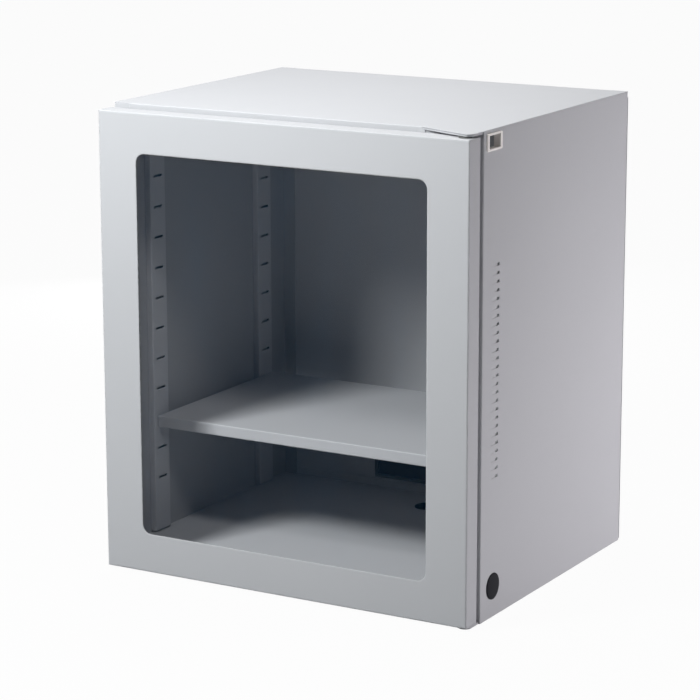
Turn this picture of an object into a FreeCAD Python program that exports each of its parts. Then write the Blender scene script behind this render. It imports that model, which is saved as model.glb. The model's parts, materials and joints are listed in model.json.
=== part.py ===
import FreeCAD, Part
import math
import os

# Sheet-steel equipment cabinet with a glazed door and an adjustable shelf.
# Millimetres. The origin is on the floor under the middle of the cabinet:
# +X is the cabinet's right, +Y its rear, +Z up. The door is the front.

# Overall size
CABINET_WIDTH = 650.0
CABINET_DEPTH = 550.0
CABINET_HEIGHT = 750.0

# Sheet metal
SHEET = 1.2
BEND = 0.8

# Carcass panels
SIDE_FRONT_FLANGE = 28.0
SIDE_REAR_FLANGE = 24.0
FOOT_LIP = 22.0
TOP_FLANGE = 28.0
TOP_SIDE_FLANGE = 18.0
TOP_SIDE_FLANGE_SETBACK = 30.0
FLOOR_HEIGHT = 28.0
FLOOR_UPSTAND = 11.5
REAR_PANEL_TOP_GAP = 10.0
REAR_PANEL_FOOT_GAP = 3.0

# Two holes for hanging on a wall, through the rear panel and the flange of the top
WALL_HOLE_R = 4.5
WALL_HOLE_SPACING = 500.0

# Vents in each side: scoops pressed inwards and open at their rear end, with a knee before they dip
VENT_COUNT = 26
VENT_PITCH = 13.0
VENT_LOWEST = 221.0
VENT_SETBACK = 28.0
VENT_LENGTH = 26.0
VENT_HEIGHT = 4.2
VENT_DEPTH = 3.2
VENT_KNEE = 18.0
VENT_KNEE_DEPTH = 0.5
VENT_CHEEK = 0.8

# How far the port frames and the plugs stand out of the sheet
FITTING_RISE = 2.4

# Rectangular cable port with a moulded frame, high in each side
PORT_LENGTH = 36.0
PORT_HEIGHT = 20.0
PORT_SETBACK = 8.0
PORT_TOP_MARGIN = 5.5
PORT_BORDER_LENGTH = 5.5
PORT_BORDER_HEIGHT = 3.0
PORT_WALL = 1.6
PORT_FLANGE_R = 2.5
PORT_TUBE = 8.0

# Round cable holes with raised blanking plugs
PLUG_HOLE_R = 19.0
PLUG_LAP = 1.8
PLUG_RIM = 1.4
PLUG_BEVEL = 5.0
PLUG_WALL = 1.6
PLUG_SKIRT = 5.0
SIDE_PLUG_SETBACK = 41.0
SIDE_PLUG_FLOOR_CLEARANCE = 2.0
FLOOR_PLUG_FROM_REAR = 71.0

# Cable cut-out in the rear panel, with a scored rubber flap held by a moulded frame
CABLE_CUT_WIDTH = 266.0
CABLE_CUT_HEIGHT = 50.0
CABLE_FLAP = 1.5
CABLE_FLAP_LAP = 6.0
CABLE_FLAP_CLEARANCE = 6.5
CABLE_FRAME = 3.0
CABLE_SLIT = 1.0
CABLE_SLIT_DEPTH = 1.0
CABLE_SLIT_PITCH = 38.0

# Slotted uprights
UPRIGHT_WIDTH = 43.0
UPRIGHT_STAND = 10.0
UPRIGHT_FOOT_GAP = 2.5
UPRIGHT_TOP_GAP = 10.0
FRONT_UPRIGHT_SETBACK = 78.0
REAR_UPRIGHT_FROM_REAR = 59.0
SLOT_LENGTH = 23.6
SLOT_HEIGHT = 3.5
SLOT_PITCH = 50.0
SLOT_LOWEST = 120.0
SLOT_TOP_MARGIN = 40.0

# Shelf and the clips that it rests on
SHELF_ROW = 2
SHELF_HEIGHT = 19.0
SHELF_LIP = 14.0
SHELF_SIDE_CLEARANCE = 1.5
SHELF_FRONT_CLEARANCE = 2.3
SHELF_REAR_CLEARANCE = 13.3
SHELF_NOTCH_CLEARANCE = 3.0
CLIP_SIDE_ROOM = 5.6
CLIP_LEDGE = 16.0
CLIP_LEDGE_HEIGHT = 2.5
CLIP_STEP = 2.5
CLIP_TONGUE_ROOM = 0.5
CLIP_TAIL = 9.0
CLIP_TAIL_CLEARANCE = 0.1
CLIP_BRACE = 14.0
CLIP_BRACE_WIDTH = 2.5

# Door pan and window
DOOR_DEPTH = 35.0
DOOR_GAP = 10.0
DOOR_LIP = 28.0
DOOR_TOP_GAP = 0.8
WINDOW_STILE = 69.0
WINDOW_RAIL = 63.5
WINDOW_R = 15.0

# Glazing
GASKET = 1.0
GASKET_INSET = 1.0
PANE = 4.0
PANE_LAP = 14.0
STRIP_CLAMP = 8.0
STRIP_CLEARANCE = 1.0
STRIP_FOOT = 18.0
STRIP_END_GAP = 0.5

# Pivot hinge at the door's right-hand edge
HINGE_PLATE = 3.2
HINGE_LAP = 45.0
HINGE_CLEARANCE = 0.3
EAR_WIDTH = 103.0
EAR_BEYOND_PIN = 15.0
EAR_CORNER_R = 10.0
EAR_INSET = 2.5
EAR_RELIEF = 2.0
PIN_R = 4.0
PIN_FROM_SIDE = 17.0
PIN_FROM_FRONT = 19.0
PIN_REACH = 18.0
BUSH_R = 7.0
BUSH_LENGTH = 14.0
BUSH_FLANGE_R = 10.0
BUSH_FLANGE = 1.8
RUNNING_CLEARANCE = 0.05
BRACKET = 2.5
BRACKET_WIDTH = 40.0
BRACKET_LEG = 25.0

# Magnetic catches and rubber buffers on the left-hand front flange
CATCH_LENGTH = 60.0
CATCH_WIDTH = 14.0
CATCH_CLEARANCE = 0.3
CATCH_FROM_END = 110.0
CATCH_EDGE_R = 1.0
CATCH_WALL = 3.0
CATCH_BACK = 3.7
CATCH_END = 13.0
BUFFER_R = 5.0
BUFFER_STEM_R = 2.5
BUFFER_STEM = 3.0
BUFFER_CLEARANCE = 0.5
BUFFER_FROM_CATCH = 45.0

# Room that a cutting tool reaches past the surface it cuts
OVERCUT = 1.0

# Places worked out from the sizes above
HALF_WIDTH = CABINET_WIDTH / 2
WALL = HALF_WIDTH - SHEET
FRONT_FLANGE_EDGE = HALF_WIDTH - SIDE_FRONT_FLANGE
DOOR_FRONT = -CABINET_DEPTH / 2
DOOR_REAR = DOOR_FRONT + DOOR_DEPTH
BODY_FRONT = DOOR_REAR + DOOR_GAP
REAR_OUTER = CABINET_DEPTH / 2
REAR_INNER = REAR_OUTER - SHEET
REAR_FLANGE_FACE = REAR_INNER - SHEET
TOP_UNDER = CABINET_HEIGHT - SHEET
REAR_PANEL_TOP = CABINET_HEIGHT - REAR_PANEL_TOP_GAP
TOP_FLANGE_END = CABINET_HEIGHT - TOP_FLANGE
EAR_START = HALF_WIDTH - EAR_WIDTH
DOOR_BOTTOM = HINGE_PLATE + BUSH_FLANGE
DOOR_TOP = TOP_UNDER - HINGE_PLATE - DOOR_TOP_GAP - BUSH_FLANGE
DOOR_MIDDLE = (DOOR_TOP + DOOR_BOTTOM) / 2
PIN_X = HALF_WIDTH - PIN_FROM_SIDE
PIN_Y = DOOR_FRONT + PIN_FROM_FRONT
EAR_FRONT = PIN_Y - EAR_BEYOND_PIN
WINDOW_HALF = HALF_WIDTH - WINDOW_STILE
WINDOW_BOTTOM = DOOR_BOTTOM + WINDOW_RAIL
WINDOW_TOP = DOOR_TOP - WINDOW_RAIL
GLAZING_FACE = DOOR_FRONT + SHEET
PANE_FRONT = GLAZING_FACE + GASKET
PANE_REAR = PANE_FRONT + PANE
PANE_HALF = WINDOW_HALF + PANE_LAP
PANE_BOTTOM = WINDOW_BOTTOM - PANE_LAP
PANE_TOP = WINDOW_TOP + PANE_LAP
UPRIGHT_FACE = WALL - UPRIGHT_STAND
UPRIGHT_TOP = CABINET_HEIGHT - TOP_SIDE_FLANGE - UPRIGHT_TOP_GAP
UPRIGHT_Y = {
    "front": BODY_FRONT + FRONT_UPRIGHT_SETBACK + UPRIGHT_WIDTH / 2,
    "rear": REAR_INNER - REAR_UPRIGHT_FROM_REAR - UPRIGHT_WIDTH / 2,
}
SLOT_COUNT = int((UPRIGHT_TOP - SLOT_TOP_MARGIN - SLOT_LOWEST) // SLOT_PITCH) + 1
SHELF_SLOT = SLOT_LOWEST + SHELF_ROW * SLOT_PITCH
CLIP_WIDTH = SLOT_LENGTH - CLIP_SIDE_ROOM
CLIP_TONGUE = SLOT_HEIGHT - CLIP_TONGUE_ROOM
TONGUE_LOW = SHELF_SLOT - SLOT_HEIGHT / 2
TONGUE_HIGH = TONGUE_LOW + CLIP_TONGUE
SHELF_SEAT = TONGUE_HIGH + CLIP_STEP
SHELF_TOP = SHELF_SEAT + SHEET
SHELF_BOTTOM = SHELF_TOP - SHELF_HEIGHT
SHELF_HALF = UPRIGHT_FACE - SHELF_SIDE_CLEARANCE
SHELF_FRONT = UPRIGHT_Y["front"] - CLIP_WIDTH / 2 - SHELF_FRONT_CLEARANCE - SHEET
SHELF_REAR = UPRIGHT_Y["rear"] + CLIP_WIDTH / 2 + SHELF_REAR_CLEARANCE + SHEET
PORT_Y = BODY_FRONT + PORT_SETBACK + PORT_BORDER_LENGTH + PORT_LENGTH / 2
PORT_Z = CABINET_HEIGHT - PORT_TOP_MARGIN - PORT_BORDER_HEIGHT - PORT_HEIGHT / 2
TOP_SIDE_FLANGE_FRONT = PORT_Y + PORT_LENGTH / 2 + PORT_WALL + TOP_SIDE_FLANGE_SETBACK
TOP_SIDE_FLANGE_REAR = REAR_FLANGE_FACE - TOP_SIDE_FLANGE_SETBACK
PLUG_R = PLUG_HOLE_R + PLUG_LAP
SIDE_PLUG_Y = BODY_FRONT + SIDE_PLUG_SETBACK
SIDE_PLUG_HEIGHT = FLOOR_HEIGHT + SIDE_PLUG_FLOOR_CLEARANCE + PLUG_HOLE_R
FLOOR_PLUG_Y = REAR_INNER - FLOOR_PLUG_FROM_REAR
CABLE_CUT_BOTTOM = FLOOR_HEIGHT + FLOOR_UPSTAND + CABLE_FLAP_CLEARANCE + CABLE_FLAP_LAP
CATCH_X = -(HALF_WIDTH - SIDE_FRONT_FLANGE / 2)
CATCH_HEIGHTS = {"upper": CABINET_HEIGHT - CATCH_FROM_END, "lower": CATCH_FROM_END}
CATCH_FACE = BODY_FRONT - DOOR_GAP + CATCH_CLEARANCE
MAGNET_WIDTH = CATCH_WIDTH - 2 * CATCH_WALL
MAGNET_LENGTH = CATCH_LENGTH - 2 * CATCH_END
BUFFER_FROM_END = CATCH_FROM_END + CATCH_LENGTH / 2 + BUFFER_FROM_CATCH + BUFFER_R
BUFFER_HEIGHTS = [BUFFER_FROM_END, CABINET_HEIGHT - BUFFER_FROM_END]

V = FreeCAD.Vector
ALONG = {"X": V(1, 0, 0), "Y": V(0, 1, 0), "Z": V(0, 0, 1)}
# Turns a flat drawing so that it is seen across an axis: (y, z) for X, (x, z) for Y, (x, y) for Z
DRAWING = {
    "X": FreeCAD.Rotation(V(0, 1, 0), V(0, 0, 1), V(1, 0, 0)),
    "Y": FreeCAD.Rotation(V(1, 0, 0), V(0, 0, 1), V(0, -1, 0)),
    "Z": FreeCAD.Rotation(),
}


def box(x0, x1, y0, y1, z0, z1):
    """Block between two corners."""
    return Part.makeBox(x1 - x0, y1 - y0, z1 - z0, V(x0, y0, z0))


def rod(radius, axis, x, y, z, length):
    """Cylinder from a point along an axis."""
    return Part.makeCylinder(radius, length, V(x, y, z), ALONG[axis])


def join(first, *others):
    """One solid from pieces that meet."""
    return first.fuse(list(others)).removeSplitter()


def flipped(shape, normal, through=0.0):
    """Mirror image in the plane across an axis."""
    return shape.mirror(ALONG[normal] * through, ALONG[normal])


def runs_along(edge, axis):
    """Whether a straight edge is parallel to an axis."""
    return edge.tangentAt(edge.FirstParameter).cross(ALONG[axis]).Length < Part.Precision.confusion()


def corner_arc(before, point, after, radius):
    """Start, middle and end of the arc that rounds a corner, and the arc's centre."""
    into = (point - before).normalize()
    out = (after - point).normalize()
    half_turn = into.getAngle(out) / 2
    reach = radius * math.tan(half_turn)
    inward = (out - into).normalize()
    centre = point + inward * (radius / math.cos(half_turn))
    return (point - into * reach, centre - inward * radius, point + out * reach), centre


def face_of(stops):
    """Face inside a closed line of stops: one point is a corner, three are an arc."""
    edges = []
    for here, following in zip(stops, stops[1:] + stops[:1]):
        if len(here) == 3:
            edges.append(Part.Arc(*here).toShape())
        edges.append(Part.LineSegment(here[-1], following[0]).toShape())
    return Part.Face(Part.Wire(edges))


def outline(points):
    """Face inside corners given as (u, v), or (u, v, radius) where they are rounded."""
    corners = [V(point[0], point[1], 0) for point in points]
    stops = []
    for index, point in enumerate(points):
        if len(point) == 3:
            after = corners[(index + 1) % len(corners)]
            stops.append(corner_arc(corners[index - 1], corners[index], after, point[2])[0])
        else:
            stops.append((corners[index],))
    return face_of(stops)


def drawn_out(face, axis, start, end):
    """Solid of a flat drawing, drawn out along an axis."""
    face.Placement = FreeCAD.Placement(ALONG[axis] * start, DRAWING[axis])
    return face.extrude(ALONG[axis] * (end - start))


def plate(u0, u1, v0, v1, radius, axis, start, end):
    """Flat plate with four rounded corners."""
    corners = [(u0, v0, radius), (u1, v0, radius), (u1, v1, radius), (u0, v1, radius)]
    return drawn_out(outline(corners), axis, start, end)


def fold(path, axis, start, end, thickness=SHEET):
    """Sheet bent along a path of corners, its thickness on the path's left."""
    corners = [V(u, v, 0) for u, v in path]

    def step_left(a, b):
        return V(a.y - b.y, b.x - a.x, 0).normalize() * thickness

    near = [(corners[0],)]
    far = [(corners[0] + step_left(corners[0], corners[1]),)]
    for before, point, after in zip(corners, corners[1:], corners[2:]):
        turns_left = (point - before).cross(after - point).z > 0
        near_radius = BEND + thickness if turns_left else BEND
        far_radius = BEND if turns_left else BEND + thickness
        arc, centre = corner_arc(before, point, after, near_radius)
        near.append(arc)
        far.append(tuple(centre + (p - centre) * (far_radius / near_radius) for p in arc))
    near.append((corners[-1],))
    far.append((corners[-1] + step_left(corners[-2], corners[-1]),))
    stops = near + [stop[::-1] for stop in reversed(far)]
    return drawn_out(face_of(stops), axis, start, end)


def wall_holes():
    """Cutters for the wall fixing."""
    start = REAR_FLANGE_FACE - OVERCUT
    length = REAR_OUTER - start + OVERCUT
    z = (TOP_FLANGE_END + REAR_PANEL_TOP) / 2
    return [rod(WALL_HOLE_R, "Y", way * WALL_HOLE_SPACING / 2, start, z, length) for way in (-1, 1)]


# Carcass

def side_panel(hinged):
    """Right-hand side: web, flanges, foot lip, vents and port, and a plug hole where it is hinged."""
    path = [
        (FRONT_FLANGE_EDGE, BODY_FRONT),
        (HALF_WIDTH, BODY_FRONT),
        (HALF_WIDTH, REAR_INNER),
        (HALF_WIDTH - SIDE_REAR_FLANGE, REAR_INNER),
    ]
    panel = fold(path, "Z", 0, TOP_UNDER)
    lip_front = BODY_FRONT + SIDE_FRONT_FLANGE
    lip_rear = REAR_FLANGE_FACE - BEND
    panel = join(panel, box(WALL - FOOT_LIP, WALL, lip_front, lip_rear, 0, SHEET))
    length = PORT_LENGTH / 2 + PORT_WALL
    height = PORT_HEIGHT / 2 + PORT_WALL
    through = (WALL - OVERCUT, HALF_WIDTH + OVERCUT)
    cutters = [box(*through, PORT_Y - length, PORT_Y + length, PORT_Z - height, PORT_Z + height)]
    hole_depth = SHEET + 2 * OVERCUT
    if hinged:
        cutters.append(rod(PLUG_HOLE_R, "X", WALL - OVERCUT, SIDE_PLUG_Y, SIDE_PLUG_HEIGHT, hole_depth))
        notch_edge = WALL - BEND
        notch = HINGE_PLATE + BEND + HINGE_CLEARANCE
        front = (BODY_FRONT - OVERCUT, BODY_FRONT + SHEET + OVERCUT)
        for low, high in ((-OVERCUT, notch), (TOP_UNDER - notch, CABINET_HEIGHT)):
            cutters.append(box(FRONT_FLANGE_EDGE - OVERCUT, notch_edge, *front, low, high))
    else:
        for z in BUFFER_HEIGHTS:
            cutters.append(rod(BUFFER_STEM_R, "Y", -CATCH_X, BODY_FRONT - OVERCUT, z, hole_depth))
    return with_vents(panel.cut(cutters))


def with_vents(panel):
    """Presses a column of scoops into the sheet: each ramps inwards slightly, then dips at its rear."""
    front = BODY_FRONT + VENT_SETBACK
    knee = front + VENT_KNEE
    rear = front + VENT_LENGTH

    def wedge(face, low, high):
        ramp = [(face, front), (face - VENT_KNEE_DEPTH, knee), (face - VENT_DEPTH, rear), (face, rear)]
        return drawn_out(outline(ramp), "Z", low, high)

    scoops = []
    hollows = []
    for row in range(VENT_COUNT):
        low = VENT_LOWEST + row * VENT_PITCH - VENT_HEIGHT / 2
        high = low + VENT_HEIGHT
        scoops.append(wedge(WALL, low - VENT_CHEEK, high + VENT_CHEEK))
        hollows.append(wedge(HALF_WIDTH, low, high))
    return join(panel, *scoops).cut(hollows)


def ear_outline(inset, root):
    """Plan corners of a hinge ear, from its root round the rounded front corner."""
    edge = HALF_WIDTH - inset
    return [
        (EAR_START + inset, root),
        (EAR_START + inset, BODY_FRONT),
        (edge, EAR_FRONT + inset, EAR_CORNER_R),
    ]


def top_panel():
    """Tray with front, rear and side flanges, and the ear over the hinge corner."""
    path = [
        (REAR_INNER, TOP_FLANGE_END),
        (REAR_INNER, CABINET_HEIGHT),
        (BODY_FRONT, CABINET_HEIGHT),
        (BODY_FRONT, TOP_FLANGE_END),
    ]
    tray = fold(path, "X", -FRONT_FLANGE_EDGE, FRONT_FLANGE_EDGE)
    bend_end = BODY_FRONT + SHEET + BEND
    relief = box(EAR_START - EAR_RELIEF, FRONT_FLANGE_EDGE + OVERCUT, BODY_FRONT - OVERCUT, bend_end,
                 TOP_FLANGE_END - OVERCUT, CABINET_HEIGHT + OVERCUT)
    tray = tray.cut([relief] + wall_holes())
    ear = outline(ear_outline(0, bend_end) + [(HALF_WIDTH, bend_end)])
    pieces = [drawn_out(ear, "Z", TOP_UNDER, CABINET_HEIGHT)]
    flange_y = (TOP_SIDE_FLANGE_FRONT, TOP_SIDE_FLANGE_REAR)
    for side in (-1, 1):
        edges = sorted((side * FRONT_FLANGE_EDGE, side * HALF_WIDTH))
        pieces.append(box(*edges, BODY_FRONT, REAR_INNER, TOP_UNDER, CABINET_HEIGHT))
        edges = sorted((side * (WALL - SHEET), side * WALL))
        pieces.append(box(*edges, *flange_y, CABINET_HEIGHT - TOP_SIDE_FLANGE, CABINET_HEIGHT))
    return join(tray, *pieces)


def bottom_panel():
    """Raised floor on a front skirt, with a foot lip, a rear upstand and a plugged hole."""
    path = [
        (REAR_FLANGE_FACE, FLOOR_HEIGHT + FLOOR_UPSTAND),
        (REAR_FLANGE_FACE, FLOOR_HEIGHT),
        (BODY_FRONT, FLOOR_HEIGHT),
        (BODY_FRONT, 0),
        (BODY_FRONT + FOOT_LIP, 0),
    ]
    floor = fold(path, "X", -FRONT_FLANGE_EDGE, FRONT_FLANGE_EDGE)
    strip_y = (BODY_FRONT + SHEET + BEND, REAR_FLANGE_FACE - BEND)
    strips = []
    for side in (-1, 1):
        edges = sorted((side * FRONT_FLANGE_EDGE, side * WALL))
        strips.append(box(*edges, *strip_y, FLOOR_HEIGHT - SHEET, FLOOR_HEIGHT))
    notch = box(EAR_START, FRONT_FLANGE_EDGE + OVERCUT,
                BODY_FRONT - OVERCUT, BODY_FRONT + FOOT_LIP + OVERCUT,
                -OVERCUT, HINGE_PLATE + BEND + HINGE_CLEARANCE)
    hole = rod(PLUG_HOLE_R, "Z", 0, FLOOR_PLUG_Y, FLOOR_HEIGHT - SHEET - OVERCUT, SHEET + 2 * OVERCUT)
    return join(floor, *strips).cut([notch, hole])


def rear_panel():
    """Flat sheet with the cable cut-out and the wall fixing."""
    sheet = box(-HALF_WIDTH, HALF_WIDTH, REAR_INNER, REAR_OUTER, REAR_PANEL_FOOT_GAP, REAR_PANEL_TOP)
    return sheet.cut([cable_cut(0, REAR_INNER - OVERCUT, REAR_OUTER + OVERCUT)] + wall_holes())


def upright(place):
    """Slotted channel on the right-hand wall, its legs against the wall."""
    front = UPRIGHT_Y[place] - UPRIGHT_WIDTH / 2
    rear = UPRIGHT_Y[place] + UPRIGHT_WIDTH / 2
    path = [(WALL, rear), (UPRIGHT_FACE, rear), (UPRIGHT_FACE, front), (WALL, front)]
    channel = fold(path, "Z", FLOOR_HEIGHT + UPRIGHT_FOOT_GAP, UPRIGHT_TOP)
    slots = []
    for row in range(SLOT_COUNT):
        z = SLOT_LOWEST + row * SLOT_PITCH
        slots.append(box(UPRIGHT_FACE - OVERCUT, UPRIGHT_FACE + SHEET + OVERCUT,
                         UPRIGHT_Y[place] - SLOT_LENGTH / 2, UPRIGHT_Y[place] + SLOT_LENGTH / 2,
                         z - SLOT_HEIGHT / 2, z + SLOT_HEIGHT / 2))
    return channel.cut(slots)


def shelf_clip(place):
    """Clip on the right-hand wall: tongue through a slot, tail behind it, ledge and brace in front."""
    behind = UPRIGHT_FACE + SHEET + CLIP_TAIL_CLEARANCE
    ledge_under = SHELF_SEAT - CLIP_LEDGE_HEIGHT
    profile = [
        (UPRIGHT_FACE - CLIP_LEDGE, SHELF_SEAT),
        (UPRIGHT_FACE - CLIP_LEDGE, ledge_under),
        (UPRIGHT_FACE - CLIP_BRACE_WIDTH, TONGUE_LOW - CLIP_BRACE / 2),
        (UPRIGHT_FACE - CLIP_BRACE_WIDTH, TONGUE_LOW - CLIP_BRACE),
        (UPRIGHT_FACE, TONGUE_LOW - CLIP_BRACE),
        (UPRIGHT_FACE, TONGUE_LOW),
        (behind + CLIP_TONGUE, TONGUE_LOW),
        (behind + CLIP_TONGUE, TONGUE_HIGH + CLIP_TAIL),
        (behind, TONGUE_HIGH + CLIP_TAIL),
        (behind, TONGUE_HIGH),
        (UPRIGHT_FACE, TONGUE_HIGH),
        (UPRIGHT_FACE, SHELF_SEAT),
    ]
    middle = UPRIGHT_Y[place]
    return drawn_out(outline(profile), "Y", middle - CLIP_WIDTH / 2, middle + CLIP_WIDTH / 2)


# Cable fittings

def port_frame():
    """Moulded liner of the right-hand cable port: outside flange and a short tube."""
    length = PORT_LENGTH / 2
    height = PORT_HEIGHT / 2

    def block(grow_length, grow_height, start, end):
        return box(start, end, PORT_Y - length - grow_length, PORT_Y + length + grow_length,
                   PORT_Z - height - grow_height, PORT_Z + height + grow_height)

    flange = plate(PORT_Y - length - PORT_BORDER_LENGTH, PORT_Y + length + PORT_BORDER_LENGTH,
                   PORT_Z - height - PORT_BORDER_HEIGHT, PORT_Z + height + PORT_BORDER_HEIGHT,
                   PORT_FLANGE_R, "X", HALF_WIDTH, HALF_WIDTH + FITTING_RISE)
    tube_end = WALL - PORT_TUBE
    tube = block(PORT_WALL, PORT_WALL, tube_end, HALF_WIDTH)
    hollow = block(0, 0, tube_end - OVERCUT, HALF_WIDTH + FITTING_RISE + OVERCUT)
    return join(flange, tube).cut(hollow)


def blanking_plug():
    """Raised plug for a round hole, standing on the sheet at the origin with its face up."""
    skirt_inner = PLUG_HOLE_R - PLUG_WALL
    under = FITTING_RISE - PLUG_WALL
    bottom = -SHEET - PLUG_SKIRT
    profile = [
        (0, FITTING_RISE),
        (PLUG_R - PLUG_BEVEL, FITTING_RISE),
        (PLUG_R, PLUG_RIM),
        (PLUG_R, 0),
        (PLUG_HOLE_R, 0),
        (PLUG_HOLE_R, bottom),
        (skirt_inner, bottom),
        (skirt_inner, under),
        (0, under),
    ]
    return outline(profile).revolve(V(0, 0, 0), V(0, 1, 0), 360)


def blanking_plugs():
    """One plug low in the hinged side and one in the floor, each facing out of the sheet."""
    places = [
        (V(HALF_WIDTH, SIDE_PLUG_Y, SIDE_PLUG_HEIGHT), ALONG["X"]),
        (V(0, FLOOR_PLUG_Y, FLOOR_HEIGHT), ALONG["Z"]),
    ]
    plugs = []
    for point, direction in places:
        plug = blanking_plug()
        plug.Placement = FreeCAD.Placement(point, FreeCAD.Rotation(V(0, 1, 0), direction))
        plugs.append(plug)
    return Part.makeCompound(plugs)


def cable_cut(grow, start, end):
    """Solid that fills the rear cable cut-out, grown all round."""
    half = CABLE_CUT_WIDTH / 2 + grow
    low = CABLE_CUT_BOTTOM - grow
    high = CABLE_CUT_BOTTOM + CABLE_CUT_HEIGHT + grow
    return box(-half, half, start, end, low, high)


def rear_cable_flap():
    """Rubber sheet behind the cut-out, scored along its middle and across where cables push through."""
    front = REAR_INNER - CABLE_FLAP
    sheet = cable_cut(CABLE_FLAP_LAP, front, REAR_INNER)
    across = (REAR_INNER - CABLE_SLIT_DEPTH, REAR_INNER + OVERCUT)
    middle = CABLE_CUT_BOTTOM + CABLE_CUT_HEIGHT / 2
    reach = CABLE_CUT_WIDTH / 2 - CABLE_FLAP_LAP
    slits = [box(-reach, reach, *across, middle - CABLE_SLIT / 2, middle + CABLE_SLIT / 2)]
    tall = CABLE_CUT_HEIGHT / 2 - CABLE_FLAP_LAP
    count = int(reach // CABLE_SLIT_PITCH)
    for step in range(-count, count + 1):
        x = step * CABLE_SLIT_PITCH
        slits.append(box(x - CABLE_SLIT / 2, x + CABLE_SLIT / 2, *across, middle - tall, middle + tall))
    return sheet.cut(slits)


def rear_cable_frame():
    """Moulded frame that clamps the flap's edge."""
    rear = REAR_INNER - CABLE_FLAP
    front = rear - CABLE_FRAME
    return cable_cut(CABLE_FLAP_LAP, front, rear).cut(cable_cut(0, front - OVERCUT, rear + OVERCUT))


# Shelf

def shelf():
    """Folded pan: front and rear flanges with return lips, side flanges between the uprights."""
    path = [
        (SHELF_REAR - SHELF_LIP, SHELF_BOTTOM),
        (SHELF_REAR, SHELF_BOTTOM),
        (SHELF_REAR, SHELF_TOP),
        (SHELF_FRONT, SHELF_TOP),
        (SHELF_FRONT, SHELF_BOTTOM),
        (SHELF_FRONT + SHELF_LIP, SHELF_BOTTOM),
    ]
    pan = fold(path, "X", -SHELF_HALF, SHELF_HALF)
    notch = UPRIGHT_WIDTH / 2 + SHELF_NOTCH_CLEARANCE
    flange_y = (UPRIGHT_Y["front"] + notch, UPRIGHT_Y["rear"] - notch)
    flanges = []
    for side in (-1, 1):
        edges = sorted((side * (SHELF_HALF - SHEET), side * SHELF_HALF))
        flanges.append(box(*edges, *flange_y, SHELF_BOTTOM, SHELF_TOP))
    return join(pan, *flanges).cut(clip_ways())


def clip_ways():
    """Cutters that let the shelf's return lips pass the clips when it is lifted."""
    inner = UPRIGHT_FACE - CLIP_LEDGE - SHELF_NOTCH_CLEARANCE
    bend = SHEET + BEND
    low = SHELF_BOTTOM - OVERCUT
    cutters = []
    for side in (-1, 1):
        edges = sorted((side * inner, side * (SHELF_HALF + OVERCUT)))
        front = (SHELF_FRONT + bend, SHELF_FRONT + SHELF_LIP + OVERCUT)
        rear = (SHELF_REAR - SHELF_LIP - OVERCUT, SHELF_REAR - bend)
        cutters += [box(*edges, *lip, low, SHELF_BOTTOM + bend) for lip in (front, rear)]
    return cutters


# Door

def door_block(inset):
    """The door's outer form, shrunk all round."""
    return box(-HALF_WIDTH + inset, HALF_WIDTH - inset, DOOR_FRONT + inset, DOOR_REAR - inset,
               DOOR_BOTTOM + inset, DOOR_TOP - inset)


def window_solid(grow, start, end):
    """Solid that fills the window, grown all round."""
    half = WINDOW_HALF + grow
    return plate(-half, half, WINDOW_BOTTOM - grow, WINDOW_TOP + grow, WINDOW_R + grow, "Y", start, end)


def door_frame():
    """Folded pan with walls that meet in corner seams, rear return lips and the window."""
    block = door_block(0)
    bends = [edge for edge in block.Edges if not runs_along(edge, "Y")]
    pan = block.makeFillet(BEND + SHEET, bends).cut(door_block(SHEET))
    half = HALF_WIDTH - DOOR_LIP
    opening = box(-half, half, DOOR_REAR - SHEET - OVERCUT, DOOR_REAR + OVERCUT,
                  DOOR_BOTTOM + DOOR_LIP, DOOR_TOP - DOOR_LIP)
    window = window_solid(0, DOOR_FRONT - OVERCUT, GLAZING_FACE + OVERCUT)
    bore_start = DOOR_BOTTOM - OVERCUT
    bores = rod(BUSH_R, "Z", PIN_X, PIN_Y, bore_start, DOOR_TOP - DOOR_BOTTOM + 2 * OVERCUT)
    return pan.cut([opening, window, bores])


def window_pane():
    """Flat clear sheet behind the window."""
    return box(-PANE_HALF, PANE_HALF, PANE_FRONT, PANE_REAR, PANE_BOTTOM, PANE_TOP)


def glazing_gasket():
    """Flat sealing ring between the door sheet and the pane."""
    ring = box(-PANE_HALF, PANE_HALF, GLAZING_FACE, PANE_FRONT, PANE_BOTTOM, PANE_TOP)
    return ring.cut(window_solid(GASKET_INSET, GLAZING_FACE - OVERCUT, PANE_FRONT + OVERCUT))


def glazing_strips():
    """Four folded strips that clamp the pane's edges, by side."""
    face = PANE_REAR - GLAZING_FACE
    path = [(-STRIP_CLAMP, face), (STRIP_CLEARANCE, face), (STRIP_CLEARANCE, 0), (STRIP_FOOT, 0)]
    back = path[::-1]
    low = PANE_BOTTOM + STRIP_CLAMP + STRIP_END_GAP
    high = PANE_TOP - STRIP_CLAMP - STRIP_END_GAP
    return {
        "top": fold([(GLAZING_FACE + v, PANE_TOP + u) for u, v in back], "X", -PANE_HALF, PANE_HALF),
        "bottom": fold([(GLAZING_FACE + v, PANE_BOTTOM - u) for u, v in path], "X", -PANE_HALF, PANE_HALF),
        "left": fold([(-PANE_HALF - u, GLAZING_FACE + v) for u, v in back], "Z", low, high),
        "right": fold([(PANE_HALF + u, GLAZING_FACE + v) for u, v in path], "Z", low, high),
    }


# Hinge, drawn at the foot of the door and mirrored for its top

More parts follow.
